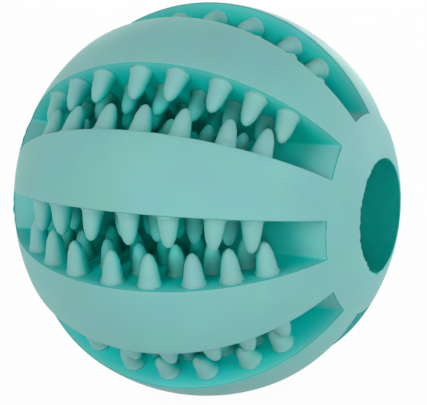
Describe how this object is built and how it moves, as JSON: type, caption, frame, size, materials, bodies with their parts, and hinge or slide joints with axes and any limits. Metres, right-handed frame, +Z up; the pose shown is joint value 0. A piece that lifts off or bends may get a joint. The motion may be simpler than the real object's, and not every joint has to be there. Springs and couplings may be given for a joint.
{
  "type": "dental dog ball",
  "caption": "Rubber chew ball with a treat hole through it and deep grooves whose flanks carry rows of blunt teeth that clean a dog's teeth",
  "frame": {"origin": "the centre of the ball, which is the middle of its bounding box", "axes": "+X along the treat hole, towards the end that the picture shows; +Z up, through the middle of a groove; -Y towards the front groove"},
  "size_m": [0.0564, 0.0588, 0.0588],
  "materials": {
    "core_rubber": "satin moulded",
    "rib_rubber": "satin moulded"
  },
  "bodies": {
    "root": {"treat_core": "core_rubber", "toothed_rib_1": "rib_rubber", "toothed_rib_2": "rib_rubber", "toothed_rib_3": "rib_rubber", "toothed_rib_4": "rib_rubber", "toothed_rib_5": "rib_rubber", "toothed_rib_6": "rib_rubber", "toothed_rib_7": "rib_rubber", "toothed_rib_8": "rib_rubber"}
  },
  "joints": []
}
